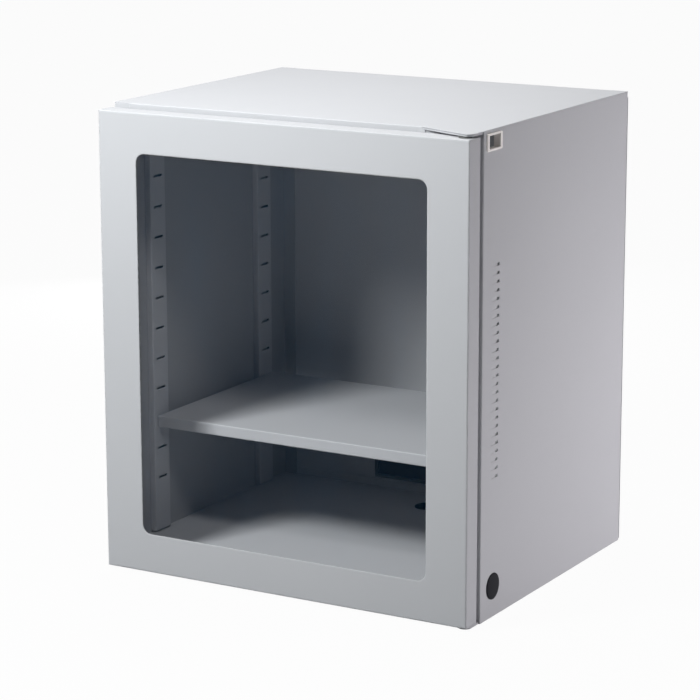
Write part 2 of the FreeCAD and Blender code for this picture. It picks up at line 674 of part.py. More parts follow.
def hinge_plate(leg):
    """Bracket at the floor: an ear under the door and a leg behind the front skirt."""
    leg_face = BODY_FRONT + SHEET
    leg_rear = leg_face + HINGE_PLATE
    path = [(EAR_FRONT, 0), (leg_rear, 0), (leg_rear, leg)]
    bracket = fold(path, "X", EAR_START - HINGE_LAP, HALF_WIDTH, HINGE_PLATE)
    inner_edge = WALL - BEND - HINGE_CLEARANCE
    ear_side = BODY_FRONT - HINGE_CLEARANCE
    plan = ear_outline(EAR_INSET, leg_face) + [
        (HALF_WIDTH - EAR_INSET, ear_side),
        (inner_edge, ear_side),
        (inner_edge, leg_rear + OVERCUT),
        (EAR_START - HINGE_LAP, leg_rear + OVERCUT),
        (EAR_START - HINGE_LAP, leg_face),
    ]
    bracket = bracket.common(drawn_out(outline(plan), "Z", 0, leg))
    lap_foot = box(EAR_START - HINGE_LAP - OVERCUT, EAR_START + EAR_INSET,
                   leg_face - OVERCUT, leg_rear + OVERCUT, -OVERCUT, HINGE_PLATE + BEND)
    return bracket.cut([lap_foot, rod(PIN_R, "Z", PIN_X, PIN_Y, -OVERCUT, HINGE_PLATE + 2 * OVERCUT)])


def hinge_bush():
    """Flanged bush in the door's bottom wall, which carries the door on the hinge plate."""
    body = rod(BUSH_R, "Z", PIN_X, PIN_Y, DOOR_BOTTOM, BUSH_LENGTH)
    flange = rod(BUSH_FLANGE_R, "Z", PIN_X, PIN_Y, DOOR_BOTTOM - BUSH_FLANGE, BUSH_FLANGE)
    bore_start = DOOR_BOTTOM - BUSH_FLANGE - OVERCUT
    bore_length = BUSH_LENGTH + BUSH_FLANGE + 2 * OVERCUT
    bore = rod(PIN_R + RUNNING_CLEARANCE, "Z", PIN_X, PIN_Y, bore_start, bore_length)
    return join(body, flange).cut(bore)


def pivot_bracket():
    """Reinforcement inside the door's bottom corner, with a leg up the side wall."""
    floor = DOOR_BOTTOM + SHEET
    wall = HALF_WIDTH - SHEET
    path = [(wall - BRACKET_WIDTH, floor), (wall, floor), (wall, floor + BRACKET_LEG)]
    bracket = fold(path, "Y", GLAZING_FACE + BEND, DOOR_REAR - SHEET - BEND, BRACKET)
    return bracket.cut(rod(BUSH_R, "Z", PIN_X, PIN_Y, floor - OVERCUT, BRACKET + 2 * OVERCUT))


def with_upper(lower):
    """A piece at the door's foot together with its mirror image at the door's top."""
    return Part.makeCompound([lower, flipped(lower, "Z", DOOR_MIDDLE)])


def hinge_pins():
    """Pins pressed into the two hinge plates."""
    upper_start = DOOR_TOP - PIN_REACH
    lower = rod(PIN_R, "Z", PIN_X, PIN_Y, 0, DOOR_BOTTOM + PIN_REACH)
    upper = rod(PIN_R, "Z", PIN_X, PIN_Y, upper_start, TOP_UNDER - upper_start)
    return Part.makeCompound([lower, upper])


# Catches and buffers

def magnet_pocket(z, grow=0.0):
    """The magnet's block, or with grow the pocket that opens at the catch's face."""
    return box(CATCH_X - MAGNET_WIDTH / 2, CATCH_X + MAGNET_WIDTH / 2,
               CATCH_FACE - grow, BODY_FRONT - CATCH_BACK, z - MAGNET_LENGTH / 2, z + MAGNET_LENGTH / 2)


def magnet_catch(z):
    """Catch housing on the left-hand front flange."""
    housing = box(CATCH_X - CATCH_WIDTH / 2, CATCH_X + CATCH_WIDTH / 2, CATCH_FACE, BODY_FRONT,
                  z - CATCH_LENGTH / 2, z + CATCH_LENGTH / 2)
    corners = [edge for edge in housing.Edges if runs_along(edge, "Y")]
    housing = housing.makeFillet(CATCH_EDGE_R, corners)
    return housing.cut(magnet_pocket(z, OVERCUT))


def door_buffers():
    """Rubber buffers with stems in the left-hand front flange."""
    buffers = []
    for z in BUFFER_HEIGHTS:
        length = DOOR_GAP - BUFFER_CLEARANCE
        pad = rod(BUFFER_R, "Y", CATCH_X, BODY_FRONT - length, z, length)
        buffers.append(join(pad, rod(BUFFER_STEM_R, "Y", CATCH_X, BODY_FRONT, z, SHEET + BUFFER_STEM)))
    return Part.makeCompound(buffers)


def all_parts():
    """Every sub-part by its name."""
    parts = {
        "right_side_panel": side_panel(hinged=True),
        "left_side_panel": flipped(side_panel(hinged=False), "X"),
        "top_panel": top_panel(),
        "bottom_panel": bottom_panel(),
        "rear_panel": rear_panel(),
        "right_port_frame": port_frame(),
        "left_port_frame": flipped(port_frame(), "X"),
        "blanking_plugs": blanking_plugs(),
        "rear_cable_flap": rear_cable_flap(),
        "rear_cable_frame": rear_cable_frame(),
        "shelf": shelf(),
        "door_frame": door_frame(),
        "window_pane": window_pane(),
        "glazing_gasket": glazing_gasket(),
        "hinge_pins": hinge_pins(),
        "hinge_bushes": with_upper(hinge_bush()),
        "pivot_brackets": with_upper(pivot_bracket()),
        "catch_magnets": Part.makeCompound([magnet_pocket(z) for z in CATCH_HEIGHTS.values()]),
        "door_buffers": door_buffers(),
    }
    for place in UPRIGHT_Y:
        parts[f"{place}_right_upright"] = upright(place)
        parts[f"{place}_left_upright"] = flipped(upright(place), "X")
        parts[f"{place}_right_shelf_clip"] = shelf_clip(place)
        parts[f"{place}_left_shelf_clip"] = flipped(shelf_clip(place), "X")
    for side, strip in glazing_strips().items():
        parts[f"{side}_glazing_strip"] = strip
    for place, z in CATCH_HEIGHTS.items():
        parts[f"{place}_magnet_catch"] = magnet_catch(z)
    parts["lower_hinge_plate"] = hinge_plate(FLOOR_HEIGHT - SHEET - BEND - HINGE_CLEARANCE)
    parts["upper_hinge_plate"] = flipped(hinge_plate(TOP_FLANGE - SHEET), "Z", TOP_UNDER / 2)
    return parts


os.makedirs("parts", exist_ok=True)
for name, shape in all_parts().items():
    shape.exportStep(os.path.join("parts", name + ".step"))
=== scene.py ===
"""Finishes, fasteners, plugs and a studio for a sheet-steel cabinet with a glazed door."""

import json
import math

import bmesh
import bpy
from bpy.props import FloatProperty, FloatVectorProperty, PointerProperty
from bpy.types import Operator, Panel, PropertyGroup
from mathutils import Matrix, Vector


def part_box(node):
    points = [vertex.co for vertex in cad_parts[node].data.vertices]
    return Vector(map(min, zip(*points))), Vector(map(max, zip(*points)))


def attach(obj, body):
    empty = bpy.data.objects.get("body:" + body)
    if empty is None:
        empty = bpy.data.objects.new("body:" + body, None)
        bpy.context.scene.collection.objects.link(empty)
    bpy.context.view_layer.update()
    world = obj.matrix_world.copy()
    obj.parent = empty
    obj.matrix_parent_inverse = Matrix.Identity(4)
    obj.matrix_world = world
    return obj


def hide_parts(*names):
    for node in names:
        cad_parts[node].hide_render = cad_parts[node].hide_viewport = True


bl_info = {
    "name": "Glazed Cabinet",
    "version": (1, 0, 0),
    "blender": (4, 5, 0),
    "location": "View3D > Sidebar > Cabinet",
    "description": "Finishes and fasteners for a sheet-steel cabinet with a glazed door",
    "category": "Object",
}

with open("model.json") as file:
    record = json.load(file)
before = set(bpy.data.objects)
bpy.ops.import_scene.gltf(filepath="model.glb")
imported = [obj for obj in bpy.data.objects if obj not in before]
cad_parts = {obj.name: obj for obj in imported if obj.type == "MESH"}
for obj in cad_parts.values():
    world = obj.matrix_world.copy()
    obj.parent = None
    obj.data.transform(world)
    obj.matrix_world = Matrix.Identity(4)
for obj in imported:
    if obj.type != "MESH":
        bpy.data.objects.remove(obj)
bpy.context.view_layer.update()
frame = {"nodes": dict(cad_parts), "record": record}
NODES = frame["nodes"]
SLOT_OF_NODE = {part["node"]: part["material_slot"] for part in frame["record"]["subparts"]}

MM = 0.001
SHEET = 1.2 * MM
QUARTER_TURN = math.radians(90)
TOWARDS_FRONT = Matrix.Rotation(QUARTER_TURN, 4, "X")
TOWARDS_REAR = Matrix.Rotation(-QUARTER_TURN, 4, "X")
TOWARDS_RIGHT = Matrix.Rotation(QUARTER_TURN, 4, "Y")
UPWARDS = Matrix.Identity(4)
SMOOTH_BELOW = math.radians(35)
WHITE = (1.0, 1.0, 1.0, 1.0)
BLACK = (0.0, 0.0, 0.0, 1.0)


# Sizes and colours that a user would change

def length(name, description, millimetres):
    """A property for a small length, given in millimetres."""
    return FloatProperty(name=name, description=description, default=millimetres * MM, min=0.0,
                         precision=5, unit="LENGTH", subtype="DISTANCE")


def share(name, description, default):
    """A property for a number from nothing to all."""
    return FloatProperty(name=name, description=description, default=default, min=0.0, max=1.0,
                         subtype="FACTOR")


def colour(name, description, default):
    """A property for a colour as it is seen on a screen."""
    return FloatVectorProperty(name=name, description=description, default=default, size=3,
                               min=0.0, max=1.0, subtype="COLOR_GAMMA")


def power(name, description, watts):
    """A property for the power of a lamp."""
    return FloatProperty(name=name, description=description, default=watts, min=0.0, unit="POWER")


class CABINET_PG_paint(PropertyGroup):
    colour: colour("Colour", "Powder coat on all folded sheet", (0.754, 0.757, 0.77))
    roughness: share("Roughness", "How matt the coat is", 0.66)
    gloss: share("Gloss", "Strength of the coat's reflections", 0.08)
    peel_size: length("Peel size", "Width of one dimple of the orange peel", 2.6)
    peel_depth: length("Peel depth", "Depth of the orange peel", 0.012)
    # Both radii round the coat's normals and also set how wide the painted highlight along edges is.
    edge_radius: length("Edge radius", "How far the coat rounds a cut edge", 1.5)
    rim_radius: length("Rim radius", "How far the coat rounds the door's window rim", 3.2)
    # Painted shade: the walls' inner faces are darkened towards black by this share.
    inner_shade: share("Shade_inside", "How much darker the thin coat on the walls' inner faces is", 0.22)


class CABINET_PG_glazing(PropertyGroup):
    tint: colour("Tint", "Colour of the pane's own haze", (0.25, 0.54, 0.76))
    # Sheen is a painted reflection: the grey that the pane turns where it is seen at a low angle.
    sheen: colour("Sheen", "Colour of the pane where it is seen at a low angle", (0.60, 0.63, 0.65))
    density: share("Density", "Share of the light that each face of the pane holds back", 0.012)
    smears: share("Smears", "How visible the wiping marks are", 0.25)


class CABINET_PG_fittings(PropertyGroup):
    zinc: colour("Zinc", "Plated clips, pins, brackets, screws and nuts", (0.72, 0.73, 0.74))
    port: colour("Port frames", "Moulded liners of the cable ports", (0.97, 0.95, 0.935))
    catch: colour("Catches", "Housings of the magnetic catches", (0.88, 0.88, 0.87))
    # The bushes' dark grey is partly painted shade, so that they merge with the shadow gap under the hinge
    # ear.
    bush: colour("Bushes", "Plastic bushes of the pivot hinge", (0.34, 0.34, 0.335))
    frame: colour("Cable frame", "Frame round the rear cable flap", (0.30, 0.31, 0.32))
    plug: colour("Plugs", "Blanking plugs of the round cable holes", (0.085, 0.085, 0.11))
    rubber: colour("Rubber", "Gasket, cable flap and buffers", (0.20, 0.20, 0.21))
    magnet: colour("Magnets", "Ferrite blocks in the catches", (0.20, 0.20, 0.21))


class CABINET_PG_fasteners(PropertyGroup):
    head_radius: length("Screw head", "Radius of a screw's head", 4.0)
    head_rise: length("Screw rise", "Height of a raised screw head", 2.2)
    flush_rise: length("Flush rise", "How far a sunk screw head stands proud", 0.15)
    drive_reach: length("Drive reach", "Half the length of the cross recess", 2.3)
    drive_width: length("Drive width", "Half the width of the cross recess", 0.45)
    drive_depth: length("Drive depth", "Depth of the cross recess in a raised head", 1.3)
    nut_flats: length("Nut flats", "Width of a glazing nut across its flats", 7.0)
    nut_height: length("Nut height", "Height of a glazing nut", 3.2)
    stud_radius: length("Stud radius", "Radius of a glazing stud", 2.0)
    stud_length: length("Stud length", "Length of a glazing stud above its strip", 7.0)
    thread_pitch: length("Thread pitch", "Distance between two threads of a stud", 0.7)


class CABINET_PG_studio(PropertyGroup):
    floor: colour("Floor", "Pale floor under the cabinet", (0.72, 0.72, 0.725))
    ambient: share("Ambient", "Light that comes from all round", 0.0)
    key_power: power("Key", "Softbox in front, to the left and above", 22.1)
    far_power: power("Far", "Softbox far in front, to the left and above", 20.1)
    high_power: power("High", "Small softbox high in front, to the right", 7.5)
    top_power: power("Top", "Softbox overhead", 21.6)
    side_power: power("Side", "Low softbox on the right", 22.5)
    rear_power: power("Rear", "Softbox behind, to the left", 30.0)
    lens: FloatProperty(name="Lens", description="Focal length on a 36 mm sensor",
                        default=139.516, min=1.0, subtype="DISTANCE_CAMERA")


# Shaders

def linear(shown):
    """Linear colour with alpha, from a colour as it is seen on a screen."""
    parts = [c / 12.92 if c <= 0.04045 else ((c + 0.055) / 1.055) ** 2.4 for c in shown]
    return (*parts, 1.0)


def shaded(tint, factor):
    """A linear colour made lighter or darker."""
    return (*(part * factor for part in tint[:3]), 1.0)


class Value:
    """One output of a shader node. Arithmetic with numbers or other values adds Math nodes."""

    def __init__(self, finish, socket):
        self.finish = finish
        self.socket = socket

    def __add__(self, other):
        return self.finish.math("ADD", self, other)

    def __sub__(self, other):
        return self.finish.math("SUBTRACT", self, other)

    def __rsub__(self, other):
        return self.finish.math("SUBTRACT", other, self)

    def __mul__(self, other):
        return self.finish.math("MULTIPLY", self, other)

    def __pow__(self, other):
        return self.finish.math("POWER", self, other)

    __radd__ = __add__
    __rmul__ = __mul__


class Finish:
    """A shader tree that is written as expressions."""

    def __init__(self, owner):
        owner.use_nodes = True
        self.tree = owner.node_tree
        self.tree.nodes.clear()

    def node(self, kind, settings=None, sockets=None, output=0):
        """Adds a node: its settings first, then the values or links of its sockets."""
        node = self.tree.nodes.new(kind)
        for name, setting in (settings or {}).items():
            setattr(node, name, setting)
        for key, given in (sockets or {}).items():
            if isinstance(given, Value):
                self.tree.links.new(given.socket, node.inputs[key])
            else:
                node.inputs[key].default_value = given
        return Value(self, node.outputs[output]) if node.outputs else None

    def math(self, operation, a, b):
        """One step of arithmetic on values or numbers."""
        return self.node("ShaderNodeMath", {"operation": operation}, {0: a, 1: b})

    def within(self, value, low, high):
        """How far a value has come from low to high, from 0 to 1."""
        return self.node("ShaderNodeMapRange", None, {0: value, 1: low, 2: high})

    def blend(self, factor, first, second):
        """Colour between two colours, from the Mix node's sockets for colours."""
        return self.node("ShaderNodeMix", {"data_type": "RGBA"}, {0: factor, 6: first, 7: second}, 2)

    def place(self, stretch=(1.0, 1.0, 1.0)):
        """Position on the piece in metres, in the piece's own frame."""
        here = self.node("ShaderNodeTexCoord", output="Object")
        if stretch == (1.0, 1.0, 1.0):
            return here
        return self.node("ShaderNodeVectorMath", {"operation": "MULTIPLY"}, {0: here, 1: stretch})

    def noise(self, place, size, detail=2.0, roughness=0.5):
        """Random field from 0 to 1 with features of a size in metres."""
        sockets = {"Vector": place, "Scale": 1.0 / size, "Detail": detail, "Roughness": roughness}
        return self.node("ShaderNodeTexNoise", None, sockets)

    def cells(self, place, size):
        """A random shade for each cell of a size in metres."""
        sockets = {"Vector": place, "Scale": 1.0 / size}
        shade = self.node("ShaderNodeTexVoronoi", None, sockets, "Color")
        return self.node("ShaderNodeSeparateColor", None, {0: shade})

    def within_box(self, place, low, high):
        """1 at places between two corners, and 0 elsewhere."""
        mask = 1.0
        for axis in range(3):
            along = self.node("ShaderNodeSeparateXYZ", None, {0: place}, axis)
            mask = mask * self.math("GREATER_THAN", along, low[axis])
            mask = mask * self.math("LESS_THAN", along, high[axis])
        return mask

    def rounded(self, radius):
        """Normal that turns smoothly over the piece's edges."""
        return self.node("ShaderNodeBevel", {"samples": 6}, {"Radius": radius})

    def edges(self, rounded):
        """Mask of the piece's edges: 1 where a rounded normal has turned well away from the flat one."""
        nearly_flat = 0.995
        well_turned = 0.80
        flat = self.node("ShaderNodeNewGeometry", output="Normal")
        sockets = {0: rounded, 1: flat}
        along = self.node("ShaderNodeVectorMath", {"operation": "DOT_PRODUCT"}, sockets, "Value")
        return self.within(along, nearly_flat, well_turned)

    def bump(self, height, depth, normal=None):
        """Normal with a relief of a depth in metres."""
        sockets = {"Strength": 1.0, "Distance": depth, "Height": height}
        if normal:
            sockets["Normal"] = normal
        return self.node("ShaderNodeBump", None, sockets)

    def surface(self, **sockets):
        """Ends the tree in one principled surface."""
        named = {name.replace("_", " "): given for name, given in sockets.items()}
        shader = self.node("ShaderNodeBsdfPrincipled", None, named)
        self.node("ShaderNodeOutputMaterial", None, {"Surface": shader})


def new_finish(name):
    """A material and the tree to write its shader in."""
    material = bpy.data.materials.new(name)
    return material, Finish(material)


def powder_coat(name, paint, edge_radius, hollow=None):
    """Satin powder coat with orange peel and a fine grain, with a painted highlight that makes edges paler
    and painted shade that darkens the faces inside a hollow.
    """
    highlight_cover = 0.7
    highlight_gain = 1.25
    material, coat = new_finish(name)
    place = coat.place()
    mottle = coat.noise(place, size=220 * MM, detail=3.0)
    handling = coat.within(coat.noise(place, size=70 * MM, detail=4.0, roughness=0.6), 0.45, 0.75)
    grain = coat.noise(place, size=0.8 * MM, detail=1.0)
    peel = coat.noise(place, size=paint.peel_size, detail=1.0, roughness=0.35)
    rounded = coat.rounded(edge_radius)
    edge = coat.edges(rounded)
    tint = linear(paint.colour)
    ground = coat.blend(mottle, shaded(tint, 0.97), shaded(tint, 1.03))
    flecked = coat.blend(coat.within(grain, 0.35, 0.65), ground, shaded(tint, 1.02))
    # Painted highlight: edges are blended towards a paler coat.
    shown = coat.blend(edge * highlight_cover, flecked, shaded(tint, highlight_gain))
    # Painted shade: inside the hollow the coat is darkened towards black.
    if hollow:
        shown = coat.blend(coat.within_box(place, *hollow) * paint.inner_shade, shown, BLACK)
    coat.surface(
        Base_Color=shown,
        Roughness=paint.roughness - 0.04 + mottle * 0.05 + handling * 0.05 + grain * 0.04,
        Specular_IOR_Level=paint.gloss,
        Normal=coat.bump(peel * 0.8 + grain * 0.2, depth=paint.peel_depth, normal=rounded),
    )
    return material


def clear_pane(glazing):
    """Clear sheet with faint wiping marks. Seen at a low angle it is denser, so that its gloss shows, and
    turns grey: a painted reflection.
    """
    acrylic_ior = 1.49
    wiped_upright = (1.0, 1.0, 0.25)
    material, pane = new_finish("clear_pane")
    arcs = pane.noise(pane.place(wiped_upright), size=50 * MM, detail=5.0, roughness=0.65)
    smear = pane.within(arcs, 0.5, 0.8) * glazing.smears
    glance = pane.node("ShaderNodeLayerWeight", None, {"Blend": 0.5}, "Facing") ** 5.0
    tint = linear(glazing.tint)
    haze = pane.blend(smear, tint, shaded(tint, 1.6))
    # Painted reflection: seen at a low angle, the pane turns to the sheen colour and grows more opaque.
    pane.surface(
        Base_Color=pane.blend(pane.within(glance, 0.002, 0.05), haze, linear(glazing.sheen)),
        Roughness=0.03 + smear * 0.15,
        IOR=acrylic_ior,
        Alpha=glazing.density + glance * 0.5 + smear * 0.03,
    )
    return material


def plated_steel(name, tint, roughness):
    """Bright plated steel with a fine spangle and rolling lines."""
    rolled_across = (1.0, 1.0, 12.0)
    material, plate = new_finish(name)
    spangle = plate.cells(plate.place(), size=1.6 * MM)
    lines = plate.noise(plate.place(rolled_across), size=4 * MM, detail=4.0, roughness=0.7)
    stain = plate.noise(plate.place(), size=20 * MM, detail=3.0)
    rounded = plate.rounded(0.25 * MM)
    plate.surface(
        Base_Color=plate.blend(spangle * 0.5 + stain * 0.5, shaded(tint, 0.88), shaded(tint, 1.08)),
        Metallic=1.0,
        Roughness=roughness - 0.08 + spangle * 0.06 + lines * 0.12,
        Normal=plate.bump(lines, depth=0.004 * MM, normal=rounded),
    )
    return material


def moulded_plastic(name, tint, roughness, gloss=0.5):
    """Moulded plastic with a spark-eroded grain and slightly polished edges, which are also paler: a
    painted highlight.
    """
    material, plastic = new_finish(name)
    grain = plastic.noise(plastic.place(), size=0.6 * MM, detail=2.0)
    flow = plastic.noise(plastic.place(), size=12 * MM, detail=3.0)
    rounded = plastic.rounded(0.5 * MM)
    edge = plastic.edges(rounded)
    shown = plastic.blend(flow, shaded(tint, 0.94), shaded(tint, 1.06))
    # Painted highlight: edges are paler; their lower roughness is the polish.
    plastic.surface(
        Base_Color=plastic.blend(edge * 0.4, shown, shaded(tint, 1.18)),
        Roughness=roughness + grain * 0.12 - edge * 0.10,
        Specular_IOR_Level=gloss,
        Normal=plastic.bump(grain, depth=0.015 * MM, normal=rounded),
    )
    return material


def black_rubber(name, tint):
    """Matt rubber with a fine bloom."""
    material, rubber = new_finish(name)
    bloom = rubber.within(rubber.noise(rubber.place(), size=9 * MM, detail=5.0, roughness=0.6), 0.4, 0.8)
    grain = rubber.noise(rubber.place(), size=0.7 * MM, detail=2.0)
    rubber.surface(
        Base_Color=rubber.blend(bloom * 0.5, tint, shaded(tint, 2.4)),
        Roughness=0.68 + bloom * 0.15,
        Specular_IOR_Level=0.3,
        Normal=rubber.bump(grain, depth=0.02 * MM),
    )
    return material


def ferrite(name, tint):
    """Sintered magnet: dull, dark and finely pitted."""
    material, magnet = new_finish(name)
    pits = magnet.noise(magnet.place(), size=0.9 * MM, detail=4.0, roughness=0.7)
    cast = magnet.noise(magnet.place(), size=6 * MM, detail=3.0)
    magnet.surface(
        Base_Color=magnet.blend(cast, shaded(tint, 0.7), shaded(tint, 1.4)),
        Metallic=0.25,
        Roughness=0.55 + pits * 0.25,
        Normal=magnet.bump(pits, depth=0.03 * MM),
    )
    return material


def drive_shadow(name):
    """Painted shade on the floor of a shallow cross recess: near black, in two dark tones mixed at random.
    """
    # Painted shade: the recess is too shallow to darken by itself, so its floor is coloured near black.
    deepest_shade = (0.012, 0.012, 0.013, 1.0)
    lighter_shade = (0.05, 0.05, 0.052, 1.0)
    material, recess = new_finish(name)
    shade_noise = recess.noise(recess.place(), size=0.8 * MM, detail=3.0)
    recess.surface(
        Base_Color=recess.blend(shade_noise, deepest_shade, lighter_shade),
        Roughness=0.7 + shade_noise * 0.2,
    )
    return material


def finish_named(name, make, *given):
    """A finish that is made once and then shared.

    Its name differs from the slots' names, which the frame's own plain materials have.
    """
    return bpy.data.materials.get(name) or make(name, *given)


def sheet_coat(scene):
    """Finish of folded sheet metal."""
    paint = scene.cabinet_paint
    return finish_named("powder_coat", powder_coat, paint, paint.edge_radius)


def zinc(scene):
    """Finish of plated clips, pins, brackets, screws and nuts."""
    roughness = 0.36
    return finish_named("zinc_plate", plated_steel, linear(scene.cabinet_fittings.zinc), roughness)


def rubber(scene):
    """Finish of the gasket, the cable flap and the buffers."""
    return finish_named("soft_rubber", black_rubber, linear(scene.cabinet_fittings.rubber))


def drive_recess():
    """Painted shade inside the cross recess of a sunk screw."""
    return finish_named("drive_recess", drive_shadow)


def coat_node(node, material):
    """Gives one CAD node its finish."""
    NODES[node].data.materials.clear()
    NODES[node].data.materials.append(material)


def dress(slot, material):
    """Gives every CAD node of a slot its finish."""
    for node, its_slot in SLOT_OF_NODE.items():
        if its_slot == slot:
            coat_node(node, material)


# Mesh building

def quarter_arc(steps):
    """Angles of a quarter turn in equal steps, without the first."""
    return [QUARTER_TURN * step / steps for step in range(1, steps + 1)]


def circle(radius, height, steps):
    """Ring of points round the Z axis."""
    turns = [math.tau * step / steps for step in range(steps)]
    return [Vector((radius * math.cos(turn), radius * math.sin(turn), height)) for turn in turns]


def skin(bm, rings, place):
    """Smooth surface over rings of points; a ring of one point closes it. Gives the last ring's corners."""
    grown = [[bm.verts.new(place @ point) for point in ring] for ring in rings]
    steps = max(len(ring) for ring in rings)
    for low, high in zip(grown, grown[1:]):
        for step in range(steps):
            ahead = step + 1
            corners = [low[step % len(low)], low[ahead % len(low)],
                       high[ahead % len(high)], high[step % len(high)]]
            face = bm.faces.new(list(dict.fromkeys(corners)))
            face.smooth = True
    return grown[-1]


def turned(bm, profile, place, steps):
    """Turned form of a profile of (radius, height). Gives the last ring's corners."""
    rings = []
    for radius, height in profile:
        rings.append(circle(radius, height, steps) if radius else [Vector((0, 0, height))])
    return skin(bm, rings, place)


def bent_bar(bm, section, start, end, steps, place):
    """Bar with a closed section of (radius, height), bent round the Z axis between two angles."""
    stations = []
    for step in range(steps + 1):
        turn = start + (end - start) * step / steps
        points = [Vector((r * math.cos(turn), r * math.sin(turn), z)) for r, z in section]
        stations.append([bm.verts.new(place @ point) for point in points])
    count = len(section)
    for low, high in zip(stations, stations[1:]):
        for index in range(count):
            ahead = (index + 1) % count
            bm.faces.new((low[index], low[ahead], high[ahead], high[index]))
    bm.faces.new(stations[0])
    bm.faces.new(stations[-1])


def cross(reach, width, height):
    """Ring of the twelve corners of a cross."""
    quarter = [(reach, -width), (reach, width), (width, width)]
    corners = []
    for _ in range(4):
        for x, y in quarter:
            corners.append(Vector((x, y, height)))
        quarter = [(-y, x) for x, y in quarter]
    return corners


def screw_head(bm, place, profile, drive, depth):
    """Turned head with a cross recess in its flat top. The recess has the second finish, which on sunk
    screws is painted shade.
    """
    taper = 0.8
    reach, width = drive
    rim = turned(bm, profile, place, steps=28)
    top = profile[-1][1]
    mouth = [bm.verts.new(place @ point) for point in cross(reach, width, top)]
    floor = [bm.verts.new(place @ point) for point in cross(reach * taper, width * taper, top - depth)]
    edges = []
    for loop in (rim, mouth):
        for here, ahead in zip(loop, loop[1:] + loop[:1]):
            edges.append(bm.edges.get((here, ahead)) or bm.edges.new((here, ahead)))
    bmesh.ops.triangle_fill(bm, use_beauty=True, use_dissolve=False, edges=edges)
    recess = [bm.faces.new(floor)]
    for index in range(len(mouth)):
        ahead = (index + 1) % len(mouth)
        recess.append(bm.faces.new((mouth[index], mouth[ahead], floor[ahead], floor[index])))
    for face in recess:
        face.material_index = 1


def pan_screw(bm, place, sizes):
    """Raised screw head with a rounded shoulder, a flat top and a deep cross recess."""
    straight = 0.35
    inset = 0.55
    radius = sizes.head_radius
    rise = sizes.head_rise
    profile = [(radius, 0.0), (radius, rise * straight)]
    for turn in quarter_arc(5):
        height = rise * (straight + (1 - straight) * math.sin(turn))
        profile.append((radius - rise * inset * (1 - math.cos(turn)), height))
    screw_head(bm, place, profile, (sizes.drive_reach, sizes.drive_width), sizes.drive_depth)


def sunk_screw(bm, place, sizes, scale=1.0):
    """Sunk screw head: a thin rim with a broken edge and a shallow cross recess."""
    broken_edge = 0.15 * MM
    recess_share = 0.7
    radius = sizes.head_radius
    profile = [(radius * scale, 0.0), ((radius - broken_edge) * scale, sizes.flush_rise)]
    drive = (sizes.drive_reach * scale, sizes.drive_width * scale)
    screw_head(bm, place, profile, drive, sizes.flush_rise * recess_share)


def six_sided(flats, height, chamfer_from, steps):
    """Ring on a hexagon, lowered towards its corners as a nut's chamfer is."""
    half_flat = math.pi / 6
    chamfer = math.tan(math.radians(30))
    points = []
    for step in range(steps):
        turn = math.tau * step / steps
        from_flat = (turn + half_flat) % (math.pi / 3) - half_flat
        radius = flats / 2 / math.cos(from_flat)
        drop = max(0.0, radius - chamfer_from) * chamfer
        points.append(Vector((radius * math.cos(turn), radius * math.sin(turn), height - drop)))
    return points


def glazing_nut(bm, sizes, place):
    """Chamfered hexagon nut on a threaded stud with a domed end."""
    steps = 36
    countersink = 0.3 * MM
    dome = 0.1 * MM
    flats = sizes.nut_flats
    top = sizes.nut_height
    stud = sizes.stud_radius
    pitch = sizes.thread_pitch
    end = sizes.stud_length
    chamfer_from = flats * 0.49
    top_face = flats * 0.46
    mouth = stud * 1.12
    bore = stud * 0.95
    rings = [
        six_sided(flats, 0.0, flats, steps),
        six_sided(flats, top, chamfer_from, steps),
        circle(top_face, top, steps),
        circle(mouth, top, steps),
        circle(bore, top - countersink, steps),
    ]
    skin(bm, rings, place)
    root = stud * 0.84
    tip = root * 0.6
    profile = []
    height = top - pitch
    while height < end - pitch:
        profile += [(root, height), (stud, height + pitch / 2)]
        height += pitch
    profile += [(root, height), (tip, end - dome), (0.0, end)]
    turned(bm, profile, place, steps=20)


def add_piece(name, bm, materials, body):
    """Makes an object of a finished mesh, riding on a body."""
    bmesh.ops.recalc_face_normals(bm, faces=bm.faces)
    mesh = bpy.data.meshes.new(name)
    bm.to_mesh(mesh)
    bm.free()
    mesh.set_sharp_from_angle(angle=SMOOTH_BELOW)
    for material in materials:
        mesh.materials.append(material)
    piece = bpy.data.objects.new(name, mesh)
    bpy.context.scene.collection.objects.link(piece)
    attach(piece, body)
    return piece


def middle(node):
    """Middle of a node's box."""
    low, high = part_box(node)
    return (low + high) / 2


# Finishes of the CAD's own pieces

class CABINET_OT_coat_sheet_metal(Operator):
    """Powder coat every folded sheet-metal piece"""
    bl_idname = "cabinet.coat_sheet_metal"
    bl_label = "Coat Sheet Metal"

    walls = ("right_side_panel", "left_side_panel", "top_panel")

    def execute(self, context):
        paint = context.scene.cabinet_paint
        dress("grey_paint", sheet_coat(context.scene))
        # The walls get painted shade on their inner faces.
        walls_coat = powder_coat("powder_coat_walls", paint, paint.edge_radius, self.hollow())
        for wall in self.walls:
            coat_node(wall, walls_coat)
        # The door's larger rim radius widens the painted highlight along its window rim.
        coat_node("door_frame", powder_coat("powder_coat_door", paint, paint.rim_radius))
        return {"FINISHED"}

    def hollow(self):
        """Corners of the space inside the body, which reach half a sheet into its walls."""
        half = SHEET / 2
        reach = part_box("right_side_panel")[1].x - half
        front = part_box("bottom_panel")[0].y + half
        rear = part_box("rear_panel")[1].y - half
        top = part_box("top_panel")[1].z - half
        return (-reach, front, 0.0), (reach, rear, top)


class CABINET_OT_glaze_door(Operator):
    """Give the door its clear pane and rubber gasket"""
    bl_idname = "cabinet.glaze_door"
    bl_label = "Glaze Door"

    def execute(self, context):
        dress("pane_glass", clear_pane(context.scene.cabinet_glazing))
        dress("black_rubber", rubber(context.scene))
        return {"FINISHED"}


